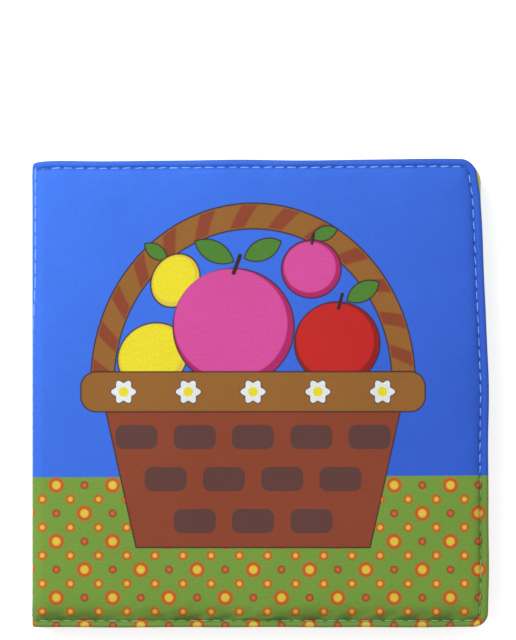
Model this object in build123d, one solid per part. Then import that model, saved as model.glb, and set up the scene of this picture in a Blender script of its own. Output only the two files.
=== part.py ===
from build123d import *
from math import atan2, cos, pi, sin
import os

os.makedirs("parts", exist_ok=True)

# Padded cloth book, closed and lying flat on its back cover.
# X runs from spine to fore-edge, Y from tail to head, Z up. Sizes in millimetres.

book_height = 145.0
front_width_head = 138.5
front_width_tail = 141.5
back_width_head = 138.8
back_width_tail = 141.3
lean_start = 80.0
page_width_head = 139.4
page_width_tail = 140.6
page_setback = 0.3
corner_radius = 5.0
corner_steps = 4

# One leaf: a thin sewn web, a raised rim outside the stitches and a padded middle.
pad_thickness = 3.6
web_thickness = 1.4
rim_thickness = 2.2
rim_width = 1.8
rim_bevel = 0.55
seam_width = 1.1
pad_bevel = 1.0
pad_corner = 2.4

# Leaves lie this far apart, and the folded pages clear the inside of the spine by it too.
leaf_gap = 0.3

# Spine: cloth carried round the back edge, slightly short of head and tail.
spine_wall = 1.4
spine_corner = 0.9
spine_droop = 1.0
droop_length = 2.5
spine_seam = 1.3
spine_seam_width = 1.1

# Stitches lie in the sunk seam, on the web.
stitch_pitch = 3.8
stitch_length = 2.9
stitch_width = 0.8
stitch_height = 0.55

# Printed fields are modelled as thin layers of colour.
print_depth = 0.12
horizon = 46.0
field_margin = 1.6
outline_width = 0.6
dot_pitch = 17.4
dot_radius = 2.45
dot_heart_radius = 1.4
small_dot_radius = 1.25

book_thickness = 4 * pad_thickness + 3 * leaf_gap
mid_height = book_thickness / 2
front_level = book_thickness - pad_thickness / 2
back_level = pad_thickness / 2
page_offset = (pad_thickness + leaf_gap) / 2
pad_inset = rim_width + seam_width
pad_start = spine_seam + spine_seam_width / 2
web_start = pad_start
half_web = web_thickness / 2
half_pad = pad_thickness / 2
fold_outer = page_offset + half_web
fold_inner = page_offset - half_web
fold_centre = spine_wall + leaf_gap + fold_outer
page_pad_start = fold_centre + fold_inner + 0.6


def fore_edge(y, head, tail):
    """Distance from the spine to the fore-edge, which leans in above lean_start."""
    above = max(0.0, y - lean_start) / (book_height - lean_start)
    return tail + (head - tail) * above


def turned_corner(x, y, radius, first_quarter):
    """Points round a quarter turn of a corner whose arc is centred on x, y."""
    turns = [(first_quarter + step / corner_steps) * pi / 2 for step in range(corner_steps + 1)]
    return [(x + radius * cos(turn), y + radius * sin(turn)) for turn in turns]


def leaf_plan(start, head, tail, inset, radius, droop=0.0):
    """Plan of a leaf from x = start to the fore-edge, inset from its three free sides."""
    low = inset
    high = book_height - inset
    tail_x = tail - inset
    head_x = fore_edge(high - radius, head, tail) - inset
    points = [(start, low + droop), (start + droop_length, low)]
    points += turned_corner(tail_x - radius, low + radius, radius, -1)
    points += [(tail_x, lean_start)]
    points += turned_corner(head_x - radius, high - radius, radius, 0)
    points += [(start + droop_length, high), (start, high - droop)]
    return make_face(Polyline(*points, close=True))


def slab(plan, thickness):
    """A plan given thickness about z = 0."""
    return Pos(0, 0, -thickness / 2) * extrude(plan, thickness)


def soften(solid, depth):
    """Bevels the edges of the top and bottom faces of a slab."""
    by_height = solid.faces().sort_by(Axis.Z)
    edges = by_height[0].edges() + by_height[-1].edges()
    return chamfer(edges, depth)


def padded_leaf(web_start, pad_from, head, tail, edge_inset, droop):
    """One quilted leaf about z = 0."""
    web = slab(leaf_plan(web_start, head, tail, edge_inset, corner_radius, droop), web_thickness)
    band = slab(leaf_plan(pad_from, head, tail, edge_inset, corner_radius), rim_thickness)
    inner_corner = corner_radius - rim_width
    inner = leaf_plan(pad_from - 20, head, tail, edge_inset + rim_width, inner_corner)
    rim = soften(band, rim_bevel) - slab(inner, rim_thickness + 1)
    pad_plan = leaf_plan(pad_from, head, tail, edge_inset + pad_inset, pad_corner)
    by_distance = pad_plan.vertices().sort_by(Axis.X)
    pad_plan = chamfer(by_distance[:2], pad_corner / 2)
    pad = soften(slab(pad_plan, pad_thickness), pad_bevel)
    return web + rim + pad


def spine_wrap(side):
    """Half of the cloth round the spine: side 1 is above mid-height, side -1 below."""
    top = side * (front_level + half_web - mid_height)
    under = top - side * web_thickness
    points = [
        (0, side * leaf_gap / 2),
        (0, top),
        (web_start, top),
        (web_start, under),
        (spine_wall, under),
        (spine_wall, side * leaf_gap / 2),
    ]
    profile = make_face(Polyline(*points, close=True))
    corner = profile.vertices().sort_by_distance((0, top))[0]
    section = Plane.XZ * fillet(corner, spine_corner)
    length = book_height - 2 * spine_droop
    return Pos(0, spine_droop, mid_height) * extrude(section, -length)


def page_fold():
    """The folded edge that joins the two inner leaves."""
    ring = Circle(fold_outer) - Circle(fold_inner)
    half = Pos(-fold_outer / 2, 0) * Rectangle(fold_outer, 2 * fold_outer)
    section = Plane.XZ * (ring & half)
    setback = page_setback + spine_droop
    length = book_height - 2 * setback
    return Pos(fold_centre, setback, mid_height) * extrude(section, -length)


def print_field(start, head, tail, inset, top_y, face_z, into):
    """Flat printed field from the tail up to top_y, let into the cloth in direction into."""
    low = pad_inset + field_margin + inset
    edge = pad_inset + field_margin
    right = tail - edge
    points = [
        (start + field_margin, low),
        (right, low),
        (right, top_y),
        (start + field_margin, top_y),
    ]
    field = extrude(make_face(Polyline(*points, close=True)), print_depth)
    base = face_z - print_depth if into < 0 else face_z
    return Pos(0, 0, base) * field


def rim_field(head, tail, base):
    """The same print carried along the flat top of the rim, from the tail to the horizon."""
    plan = leaf_plan(pad_start + rim_bevel, head, tail, rim_bevel, corner_radius - rim_bevel)
    plan -= leaf_plan(pad_start - 20, head, tail, rim_width, corner_radius - rim_width)
    plan &= Pos(book_height / 2, horizon / 2) * Rectangle(2 * book_height, horizon)
    return Pos(0, 0, base) * extrude(plan, print_depth)


def stitch_run(start, end, base):
    """Even stitches from start to end, lying on the level base."""
    line = Edge.make_line((*start, 0), (*end, 0))
    count = max(2, round(line.length / stitch_pitch))
    angle = atan2(end[1] - start[1], end[0] - start[0]) * 180 / pi
    stitches = []
    for index in range(count):
        place = line @ ((index + 0.5) / count)
        block = Box(stitch_length, stitch_width, stitch_height)
        stitches.append(Pos(place.X, place.Y, base + stitch_height / 2) * Rot(0, 0, angle) * block)
    return stitches


def cover_stitches(head, tail, base):
    """The row round the three free sides of a cover and the row down its spine."""
    inset = rim_width + seam_width / 2
    turn = 2 * stitch_width
    low = (tail - inset, inset)
    bend = (tail - inset, lean_start)
    head_y = book_height - inset
    head_x = fore_edge(head_y - turn, head, tail) - inset
    begin = pad_start + 0.6
    stitches = stitch_run((begin, head_y), (head_x - turn, head_y), base)
    stitches += stitch_run((head_x, head_y - turn), bend, base)
    stitches += stitch_run(bend, (low[0], low[1] + turn), base)
    stitches += stitch_run((low[0] - turn, low[1]), (begin, low[1]), base)
    spine_low = spine_droop + 0.4
    stitches += stitch_run((spine_seam, book_height - spine_low), (spine_seam, spine_low), base)
    return Compound(children=stitches)


# Covers and pages
front_cover = Pos(0, 0, front_level) * padded_leaf(
    web_start, pad_start, front_width_head, front_width_tail, 0, spine_droop
)
front_cover += spine_wrap(1)
back_cover = Pos(0, 0, back_level) * padded_leaf(
    web_start, pad_start, back_width_head, back_width_tail, 0, spine_droop
)
back_cover += spine_wrap(-1)
page = padded_leaf(
    fold_centre, page_pad_start, page_width_head, page_width_tail, page_setback, spine_droop
)
inner_leaves = Pos(0, 0, mid_height + page_offset) * page
inner_leaves += Pos(0, 0, mid_height - page_offset) * page
inner_leaves += page_fold()

# Ground fields of the printed pages, flush with the cloth
front_ground = print_field(
    pad_start, front_width_head, front_width_tail, 0, horizon, book_thickness, -1
)
back_ground = print_field(pad_start, back_width_head, back_width_tail, 0, horizon, 0, 1)
front_inside = print_field(
    pad_start, front_width_head, front_width_tail, 0, horizon, front_level - half_pad, 1
)
back_inside = print_field(
    pad_start, back_width_head, back_width_tail, 0, horizon, back_level + half_pad, -1
)
page_sizes = (page_pad_start, page_width_head, page_width_tail, page_setback, horizon)
upper_page = mid_height + page_offset
lower_page = mid_height - page_offset
page_recto = print_field(*page_sizes, upper_page + half_pad, -1)
page_verso = print_field(*page_sizes, upper_page - half_pad, 1)
page_facing = print_field(*page_sizes, lower_page + half_pad, -1)
page_last = print_field(*page_sizes, lower_page - half_pad, 1)
front_cover -= front_ground
front_cover -= front_inside
back_cover -= back_ground
back_cover -= back_inside
for field in (page_recto, page_verso, page_facing, page_last):
    inner_leaves -= field

# The same ground on the raised rims of both covers
half_rim = rim_thickness / 2
front_ground_print = [front_ground]
front_ground_print += [rim_field(front_width_head, front_width_tail, front_level + half_rim)]
back_ground_print = [back_ground]
back_ground_print += [
    rim_field(back_width_head, back_width_tail, back_level - half_rim - print_depth)
]

# Stitches
front_stitches = cover_stitches(front_width_head, front_width_tail, front_level + half_web)
back_stitches = cover_stitches(
    back_width_head, back_width_tail, back_level - half_web - stitch_height
)

# Fruit basket printed on the front cover, drawn about its own centre
motif_x = 0.49 * (front_width_head + front_width_tail) / 2
motif_y = 0.538 * book_height
motif_scale = min(front_width_head / 138.5, front_width_tail / 141.5, book_height / 145)


def disc(x, y, radius, grow=0.0):
    """Round printed spot, as a polygon with more sides the larger it is."""
    place = Pos(motif_x + motif_scale * x, motif_y + motif_scale * y)
    sides = 8 + 2 * round(1.5 * radius**0.75)
    return place * RegularPolygon(motif_scale * radius + grow, sides)


def block(x, y, width, height, corner, grow=0.0):
    """Printed rectangle with its corners cut off."""
    place = Pos(motif_x + motif_scale * x, motif_y + motif_scale * y)
    wide = motif_scale * width + 2 * grow
    tall = motif_scale * height + 2 * grow
    plan = Rectangle(wide, tall)
    return place * chamfer(plan.vertices(), motif_scale * corner + 0.6 * grow)


def basket_body(grow=0.0):
    """Tapered body of the basket."""
    out = grow / motif_scale
    foot = 36 + out
    top = 46 + out
    low = -53 - out
    corners = [(3 - foot, low), (foot - 3, low), (foot, low + 3), (top, -8), (-top, -8)]
    corners.append((-foot, low + 3))
    scaled = [(motif_scale * x, motif_scale * y) for x, y in corners]
    return Pos(motif_x, motif_y) * make_face(Polyline(*scaled, close=True))


def basket_handle(grow=0.0):
    """Tall arched handle."""
    turns = [pi * step / 32 for step in range(33)]
    points = []
    for half_width, rise, out, way in ((50, 55, grow, turns), (43, 48, -grow, turns[::-1])):
        wide = half_width * motif_scale + out
        tall = rise * motif_scale + out
        points += [(wide * cos(turn), tall * sin(turn)) for turn in way]
    return Pos(motif_x, motif_y - 2 * motif_scale) * make_face(Polyline(*points, close=True))


def fruits(spots, grow=0.0):
    """Several round fruits as one plan."""
    plan = disc(*spots[0], grow)
    for spot in spots[1:]:
        plan += disc(*spot, grow)
    return plan


pink_spots = [(-6, 15, 18.5), (18, 33, 9)]
yellow_spots = [(-31, 6, 10.5), (-24, 30, 7.5)]
red_spots = [(26, 10, 13)]
leaf_spots = [(-6, 37, 3.4), (2, 39, 3.4), (35, 27, 3.4)]
gap = outline_width
rim_band = block(0, -5, 106, 12, 4)
rim_grown = block(0, -5, 106, 12, 4, gap)
body_grown = basket_body(gap)
near = rim_grown + body_grown
pink = fruits(pink_spots) - near
red = fruits(red_spots) - near - fruits(pink_spots, gap)
yellow = fruits(yellow_spots) - near - fruits(pink_spots, gap)
fruit_grown = fruits(pink_spots, gap) + fruits(red_spots, gap) + fruits(yellow_spots, gap)
leaves = fruits(leaf_spots) - near - fruit_grown
handle = basket_handle() - near - fruit_grown - fruits(leaf_spots, gap)
outline = near + fruit_grown + fruits(leaf_spots, gap) + basket_handle(gap)
body = basket_body() - rim_grown
weave_rows = [(-19, (-36, -18, 0, 18, 36)), (-32, (-27, -9, 9, 27)), (-45, (-18, 0, 18))]
weave = [block(x, y, 13, 7.5, 2.2) for y, row in weave_rows for x in row]
flower_x = (-40, -20, 0, 20, 40)
petals = [disc(x, -5, 3.8) for x in flower_x]
hearts = [disc(x, -5, 1.6) for x in flower_x]
first = book_thickness
second = first + print_depth
third = second + print_depth
fourth = third + print_depth


def layer(plans, base):
    """Printed plans as one layer of colour."""
    solids = []
    for plan in plans:
        solids += (Pos(0, 0, base) * extrude(plan, print_depth)).solids()
    return Compound(children=solids)


# Ordinary staggered dots over the ground, left out under the basket
keep_x = 42 * motif_scale
keep_y = motif_y - 53 * motif_scale
ring_dots = []
ring_hearts = []
small_dots = []
row_step = dot_pitch / 2
ground_low = pad_inset + field_margin
ground_right = fore_edge(horizon, front_width_head, front_width_tail) - ground_low
for row in range(int((horizon - ground_low) / row_step)):
    y = ground_low + row_step * (row + 0.55)
    for column in range(int(2 * ground_right / dot_pitch) + 1):
        x = pad_start + field_margin + row_step * (column + 0.5)
        reach = dot_radius + 0.5
        inside = x + reach < ground_right and y + reach < horizon
        hidden = abs(x - motif_x) < keep_x + reach and y + reach > keep_y - gap
        if hidden or not inside:
            continue
        if (row + column) % 2 == 0:
            ring_dots.append(Pos(x, y) * RegularPolygon(dot_radius, 10))
            ring_hearts.append(Pos(x, y) * RegularPolygon(dot_heart_radius, 8))
        else:
            small_dots.append(Pos(x, y) * RegularPolygon(small_dot_radius, 6))

nodes = {
    "front_cover": front_cover,
    "back_cover": back_cover,
    "inner_leaves": inner_leaves,
    "front_stitches": front_stitches,
    "back_stitches": back_stitches,
    "front_ground": Compound(children=front_ground_print),
    "back_ground": Compound(children=back_ground_print),
    "inside_front_ground": front_inside,
    "inside_back_ground": back_inside,
    "page_1_ground": page_recto,
    "page_2_ground": page_verso,
    "page_3_ground": page_facing,
    "page_4_ground": page_last,
    "print_outline": layer([outline], first),
    "print_basket": layer([body], second),
    "print_handle": layer([rim_band, handle], second),
    "print_weave": layer(weave, third),
    "print_pink_fruit": layer([pink], second),
    "print_red_fruit": layer([red], second),
    "print_yellow_fruit": layer([yellow], second),
    "print_leaves": layer([leaves], second),
    "print_petals": layer(petals, third),
    "print_flower_hearts": layer(hearts, fourth),
    "print_dots": layer(ring_dots, first),
    "print_dot_hearts": layer(ring_hearts, second),
    "print_small_dots": layer(small_dots, first),
}

# The book is centred on its own bounding box, with its lowest face at z = 0
boxes = [cloth.bounding_box() for cloth in (front_cover, back_cover, inner_leaves)]
middle_x = (min(box.min.X for box in boxes) + max(box.max.X for box in boxes)) / 2
centre = Pos(-middle_x, -book_height / 2, -min(box.min.Z for box in boxes))
for name, shape in nodes.items():
    export_step(centre * shape, f"parts/{name}.step")
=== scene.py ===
import math

import bmesh
import bpy
import numpy as np
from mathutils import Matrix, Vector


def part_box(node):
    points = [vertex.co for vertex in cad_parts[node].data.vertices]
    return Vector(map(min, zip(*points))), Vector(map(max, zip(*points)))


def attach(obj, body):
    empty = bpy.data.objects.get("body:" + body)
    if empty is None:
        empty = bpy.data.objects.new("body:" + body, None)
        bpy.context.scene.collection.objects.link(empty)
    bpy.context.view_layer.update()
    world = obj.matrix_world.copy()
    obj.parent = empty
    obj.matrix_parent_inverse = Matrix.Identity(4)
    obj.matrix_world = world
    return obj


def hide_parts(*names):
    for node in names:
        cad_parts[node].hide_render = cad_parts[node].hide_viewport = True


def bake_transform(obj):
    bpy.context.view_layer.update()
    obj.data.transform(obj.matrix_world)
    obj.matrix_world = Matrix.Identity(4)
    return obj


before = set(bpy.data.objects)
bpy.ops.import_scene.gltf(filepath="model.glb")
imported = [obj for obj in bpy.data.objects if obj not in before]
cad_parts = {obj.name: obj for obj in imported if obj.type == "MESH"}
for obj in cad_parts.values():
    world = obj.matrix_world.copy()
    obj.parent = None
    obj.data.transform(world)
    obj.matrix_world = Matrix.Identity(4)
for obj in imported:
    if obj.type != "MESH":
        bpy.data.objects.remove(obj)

bl_info = {
    "name": "Padded cloth book",
    "version": (1, 0, 0),
    "blender": (4, 5, 0),
    "location": "View3D > Sidebar > Cloth book",
    "description": "Dresses the frame of a padded cloth book: covers, pages, stitches and a stage",
    "category": "Object",
}

# All lengths below are in millimetres, unless a comment says otherwise
MM = 0.001
FRONT_LOW, FRONT_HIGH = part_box("front_cover")
SPINE = FRONT_LOW[0] / MM
TAIL = FRONT_LOW[1] / MM
HEIGHT = (FRONT_HIGH[1] - FRONT_LOW[1]) / MM
TOP = FRONT_HIGH[2] / MM
MIDDLE = TOP / 2
# Height on the front cover where the blue of the print meets the green
HORIZON = 46.5
# How far apart the rows and columns of the cloth lie away from edges and seams
COVER_STEP = 0.95
PAGE_STEP = 1.25
# Steps of the cloth's rows from a free edge inwards, close together over rim and seam
EDGE_STEPS = (0, 0.04, 0.14, 0.3, 0.52, 0.8, 1.12, 1.42, 1.7, 1.9, 2.06, 2.22, 2.38, 2.54, 2.7, 2.9,
              3.15, 3.5, 3.95, 4.5, 5.15, 5.9)
# The same from the shoulder of the spine inwards
SPINE_STEPS = (0, 0.15, 0.35, 0.6, 0.95, 1.35, 1.85, 2.45, 3.15, 4.0)
PAGE_SPINE_STEPS = (0, 0.3, 0.6, 0.9, 1.2, 1.5, 1.9, 2.4, 3.0, 3.8, 4.8)
# Where the cover's flat cloth starts and the radius of its turn down to the spine
SHOULDER = 1.75
SHOULDER_TURN = 0.8
# Half the thickness of the sewn web in the sunk seam
WEB_HALF = 0.5
# How far the folded pages lie inside the spine, and the gap between the leaves
FOLD_START = 2.4
LEAF_GAP = 0.3
# How far the pages lie inside the covers at head and tail
PAGE_INSET = 0.35
# The trial cloth of a pad: its points across and up, and the steps it is left to swell
TRIAL_GRID = (57, 59)
TRIAL_STEPS = 18
TRIAL_CLOTH = {
    "quality": 5, "mass": 0.1, "tension_stiffness": 12, "compression_stiffness": 12,
    "shear_stiffness": 5, "bending_stiffness": 0.4, "vertex_group_mass": "held",
    "shrink_min": -0.012, "use_pressure": True, "uniform_pressure_force": 4,
}
# Soft border of the print's ink, and how wide its dark outlines are
INK_EDGE = 0.2
OUTLINE_WIDTH = 0.4
FLOWER_OUTLINE = 0.3
# Length of one wave of the weave and of the sewing thread's twist, and how deep both look
WEAVE = 0.34
TWIST = 0.42
BUMP_STRENGTH = 0.4
# Spacing of the ring dots on the green ground
DOT_PITCH = 17.4
# Width over which the slope of the head edge runs out, and the end of every middle line
SLOPE_RUN = 141
PATH_END = 150
# Middle of the basket's picture on the front cover
BASKET_CENTRE = (68.6, 78.0)
# The picture's height in pixels, its scale at the cover and the height of the camera's sensor
PICTURE_HEIGHT = 640
PIXELS_PER_MM = 3.23
SENSOR_HEIGHT = 24
# Places on the table and over it, in metres
CAMERA_PLACE = (-0.00062, 0.02262)
LAMP_PLACE = (-0.42, 0.4, 0.62)
LAMP_SIZE = 0.6
FLOOR_SIZE = 2.0
# Colours of the printed insides and pages, the side of their checks and the height of that field
RED, CREAM, PINK = (0.6, 0.03, 0.02), (0.8, 0.74, 0.66), (0.7, 0.2, 0.32)
TEAL, SAND, UMBER = (0.03, 0.34, 0.36), (0.72, 0.64, 0.46), (0.5, 0.4, 0.24)
CHECK, WIDE_CHECK = 5.0, 6.0
FIELD_TOP = 46.0


def metres(name, text, value):
    """A setting that is a length in metres."""
    return bpy.props.FloatProperty(name=name, description=text, default=value, unit="LENGTH")


def leaf_width(name, leaf, end, value):
    """A leaf's width at its head or its tail."""
    return metres(f"{name} width at {end}", f"Spine to fore-edge of the {leaf}, at the {end}", value)


def tint(name, text, value):
    """A setting that is a colour."""
    return bpy.props.FloatVectorProperty(
        name=name, description=text, subtype="COLOR", default=value, min=0, max=1)


class BookLeaves(bpy.types.PropertyGroup):
    """Sizes of the padded leaves."""

    front_head: leaf_width("Front", "front cover", "head", 0.1385)
    front_tail: leaf_width("Front", "front cover", "tail", 0.1415)
    back_head: leaf_width("Back", "back cover", "head", 0.1388)
    back_tail: leaf_width("Back", "back cover", "tail", 0.1413)
    page_head: leaf_width("Page", "pages", "head", 0.1393)
    page_tail: leaf_width("Page", "pages", "tail", 0.1399)
    lean_start: metres("Lean start", "Height above the tail from which the fore-edge leans in", 0.08)
    corner: metres("Corner radius", "Radius of the two free corners of a leaf", 0.005)
    pad: metres("Pad thickness", "Thickness of a leaf in its padded middle", 0.0036)
    rim: metres("Rim thickness", "Thickness of the raised rim outside the seam", 0.0021)
    swell: metres("Swell", "How far the wadding may push the outside of a cover out", 0.0010)
    drop: metres("Corner drop", "How far the head edge draws down at the spine", 0.00115)
    slope: metres("Head slope", "How much lower the head edge is at the spine end", 0.0007)


class BookSeams(bpy.types.PropertyGroup):
    """Sizes of the top-stitching."""

    head_inset: metres("Head inset", "Distance of the stitches from the head edge", 0.00235)
    fore_inset: metres("Fore-edge inset", "Distance of the stitches from the fore-edge", 0.0026)
    tail_inset: metres("Tail inset", "Distance of the stitches from the tail edge", 0.00205)
    shoulder_inset: metres("Spine seam", "Distance of the spine stitches outside the flat top", 0.00032)
    pitch: metres("Stitch pitch", "Distance from stitch to stitch", 0.0036)
    thread: metres("Thread width", "Width of the thread", 0.00044)
    colour: tint("Thread", "Thread over the blue cloth", (0.235, 0.49, 1.0))
    low_colour: tint("Low thread", "Thread over the green cloth", (0.2, 0.45, 0.25))


class BookPrint(bpy.types.PropertyGroup):
    """Colours of the printed cloth."""

    sky: tint("Sky", "Blue of the covers at the upper left", (0.0455, 0.184, 0.86))
    deep_sky: tint("Deep sky", "Blue of the covers at the lower right", (0.027, 0.11, 0.635))
    ground: tint("Ground", "Green of the covers", (0.174, 0.325, 0.04))
    outline: tint("Outline", "Thin lines round the shapes", (0.035, 0.014, 0.014))
    basket: tint("Basket", "Brown of the basket", (0.26, 0.05, 0.018))
    weave: tint("Weave", "Dark blocks of the basket", (0.11, 0.04, 0.035))
    handle: tint("Handle", "Tan of rim and handle", (0.3, 0.12, 0.02))
    pink: tint("Pink", "Pink fruit", (0.66, 0.07, 0.33))
    rose: tint("Rose", "Darker edge of the pink fruit", (0.42, 0.012, 0.13))
    red: tint("Red", "Red fruit", (0.55, 0.012, 0.01))
    crimson: tint("Crimson", "Darker edge of the red fruit", (0.3, 0.004, 0.006))
    yellow: tint("Yellow", "Yellow fruit", (0.83, 0.72, 0.02))
    white: tint("White", "White flowers", (0.78, 0.82, 0.83))
    orange: tint("Orange", "Rings of the dots", (0.56, 0.1, 0.012))
    heart: tint("Heart", "Middles of the dots", (0.74, 0.56, 0.045))
    coral: tint("Coral", "Middles of the plain dots", (0.7, 0.13, 0.05))
    rust: tint("Rust", "Edges of the plain dots", (0.3, 0.045, 0.008))
    leaf: tint("Leaf", "Leaves", (0.07, 0.22, 0.025))


class BookStage(bpy.types.PropertyGroup):
    """Camera and light."""

    camera_height: metres("Camera height", "Height of the camera above the table", 1.2)
    key: bpy.props.FloatProperty(
        name="Key light", description="Power of the lamp at the upper left", default=5.2, unit="POWER")
    fill: bpy.props.FloatProperty(
        name="Fill light", description="Strength of the even light of the room", default=0.54)


def smooth(low, high, value):
    """Eased step from 0 at low to 1 at high."""
    t = np.clip((value - low) / (high - low), 0, 1)
    return t * t * (3 - 2 * t)


def ripple(x, y, seed, wave, count=7):
    """Soft random relief about 0, with waves about that long, the same on every run."""
    rng = np.random.default_rng(seed)
    total = np.zeros(np.broadcast(x, y).shape)
    for _ in range(count):
        turn = rng.uniform(0, 2 * math.pi)
        length = wave * rng.uniform(0.65, 1.6)
        shift = rng.uniform(0, 2 * math.pi)
        total = total + np.sin(2 * math.pi * (x * math.cos(turn) + y * math.sin(turn)) / length + shift)
    return total / math.sqrt(count / 2)


def hollows(x, y, seed):
    """How far uneven wadding lets the inner side of a leaf sink in, in millimetres."""
    return 0.5 * np.clip(0.5 + 0.35 * ripple(x, y, seed, 38, 5), 0, 1)


def steps(start, end, pitch):
    """Even places after start, up to and without end."""
    count = max(2, round((end - start) / pitch))
    return [start + (end - start) * k / count for k in range(1, count)]


def from_far_edge(span):
    """The close steps at the far edge of a span, in rising order."""
    return [span - step for step in reversed(EDGE_STEPS)]


def rim_to_rim(span, pitch):
    """Places of rows from one free edge to the other, close together at both."""
    return list(EDGE_STEPS) + steps(EDGE_STEPS[-1], span - EDGE_STEPS[-1], pitch) + from_far_edge(span)


def make_mesh(name, bm):
    """A new mesh from what has been built."""
    mesh = bpy.data.meshes.new(name)
    bm.to_mesh(mesh)
    bm.free()
    return mesh


def double_grid(columns, rows):
    """A flat sheet of two layers closed round its edge, with each point's column, row and side."""
    bm = bmesh.new()
    bmesh.ops.create_grid(bm, x_segments=columns - 1, y_segments=rows - 1, size=0.5)
    column = bm.verts.layers.int.new("column")
    row = bm.verts.layers.int.new("row")
    side = bm.verts.layers.int.new("side")
    for vert in bm.verts:
        vert[column] = round((vert.co.x + 0.5) * (columns - 1))
        vert[row] = round((vert.co.y + 0.5) * (rows - 1))
    made = bmesh.ops.extrude_face_region(bm, geom=bm.faces[:])
    for item in made["geom"]:
        if isinstance(item, bmesh.types.BMVert):
            item[side] = 1
            item.co.z += 0.1
    bmesh.ops.recalc_face_normals(bm, faces=bm.faces[:])
    return bm


def read(items, key, kind=np.int32, width=1):
    """One value, or a few, of every point, edge, corner or face."""
    values = np.zeros(len(items) * width, dtype=kind)
    items.foreach_get(key, values)
    return values if width == 1 else values.reshape(-1, width)


def read_points(mesh):
    """Column, row and side of every point."""
    return [read(mesh.attributes[name].data, "value") for name in ("column", "row", "side")]


def swelling(width, height, seed):
    """Relief of a stitched pad under the pressure of its wadding, as rows of heights from 0 to 1."""
    across, up = TRIAL_GRID
    mesh = make_mesh("pad_trial", double_grid(across, up))
    column, row, side = read_points(mesh)
    size = np.array([width, height]) * MM
    co = np.zeros((len(column), 3))
    co[:, 0] = (column / (across - 1) - 0.5) * size[0]
    co[:, 1] = (row / (up - 1) - 0.5) * size[1]
    edge = (column == 0) | (column == across - 1) | (row == 0) | (row == up - 1)
    rng = np.random.default_rng(seed)
    lift = 0.0004 + 0.0002 * rng.random(len(column))
    co[:, 2] = np.where(edge, 0.0001, lift) * np.where(side == 1, 1, -1)
    mesh.vertices.foreach_set("co", co.ravel())
    pad = bpy.data.objects.new("pad_trial", mesh)
    bpy.context.scene.collection.objects.link(pad)
    held = pad.vertex_groups.new(name="held")
    held.add([int(i) for i in np.nonzero(edge)[0]], 1.0, "REPLACE")
    cloth = pad.modifiers.new("Cloth", "CLOTH")
    for key, value in TRIAL_CLOTH.items():
        setattr(cloth.settings, key, value)
    cloth.settings.effector_weights.gravity = 0
    cloth.collision_settings.use_collision = False
    cloth.collision_settings.use_self_collision = False
    scene = bpy.context.scene
    for number in range(1, TRIAL_STEPS + 1):
        scene.frame_set(number)
    shaped = pad.evaluated_get(bpy.context.evaluated_depsgraph_get()).data
    z = read(shaped.vertices, "co", float, 3)[:, 2]
    relief = np.zeros((up, across))
    top = side == 1
    relief[row[top], column[top]] = z[top]
    scene.frame_set(1)
    bpy.data.objects.remove(pad)
    bpy.data.meshes.remove(mesh)
    peak = float(np.percentile(relief, 98))
    print("pad relief", round(peak * 1000, 2), "mm")
    if peak < 0.0005:
        raise RuntimeError("The pad's cloth did not swell")
    return np.clip(relief / peak, 0, 1.1)


def sample(relief, u, v):
    """Reads a relief at places u, v from 0 to 1, blending between its points."""
    up, across = relief.shape
    x = np.clip(u, 0, 1) * (across - 1)
    y = np.clip(v, 0, 1) * (up - 1)
    i = np.minimum(x.astype(int), across - 2)
    j = np.minimum(y.astype(int), up - 2)
    fx, fy = x - i, y - j
    low = relief[j, i] * (1 - fx) + relief[j, i + 1] * fx
    high = relief[j + 1, i] * (1 - fx) + relief[j + 1, i + 1] * fx
    return low * (1 - fy) + high * fy


def lean(y, head, tail):
    """Distance from the spine to the fore-edge, upright below and leaning in above."""
    start = bpy.context.scene.book_leaves.lean_start / MM
    above = (y - start + np.sqrt((y - start) ** 2 + 20)) / 2
    return tail + (head - tail) * above / (HEIGHT - start)


def tucked(y):
    """How much further the front of a cover is drawn in towards the corner at the head."""
    return 0.7 * smooth(HEIGHT - 12, HEIGHT - 4, y)


def shoulder_seam(y):
    """Place of the spine seam along the cloth: on the shoulder at the head, over its edge below."""
    inset = bpy.context.scene.book_seams.shoulder_inset / MM
    return -inset - 1.5 * (1 - smooth(68, 110, y))


def settle(x, y, seed):
    """Where points of the flat cover lie once it is sewn, with its uneven edges and low spine corner."""
    leaves = bpy.context.scene.book_leaves
    high = np.clip(y / HEIGHT, 0, 1)
    across = np.clip(x, 0, SLOPE_RUN) / SLOPE_RUN
    slope = leaves.slope / MM * (1 - across) * high ** 3
    drop = leaves.drop / MM * np.exp(-np.clip(x, 0, None) / 1.6) * smooth(HEIGHT - 22, HEIGHT, y)
    side = np.where(y > HEIGHT / 2, 50.0, 0.0)
    up = np.minimum(y, HEIGHT - y)
    wave = 0.08 * ripple(x, side, seed, 27, 5) * np.exp(-np.clip(up, 0, None) / 3) * smooth(2, 12, x)
    fore = 0.09 * ripple(y, np.zeros_like(y), seed + 1, 30, 5) * np.exp(-np.clip(139 - x, 0, None) / 3)
    return x + fore, y - slope - drop + np.where(side > 0, wave, -wave)


def spread(start, end, pitch):
    """Middles and spacing of even stitches between two places."""
    count = max(2, round(abs(end - start) / pitch))
    step = (end - start) / count
    return start + step * (np.arange(count) + 0.5), step


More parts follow.
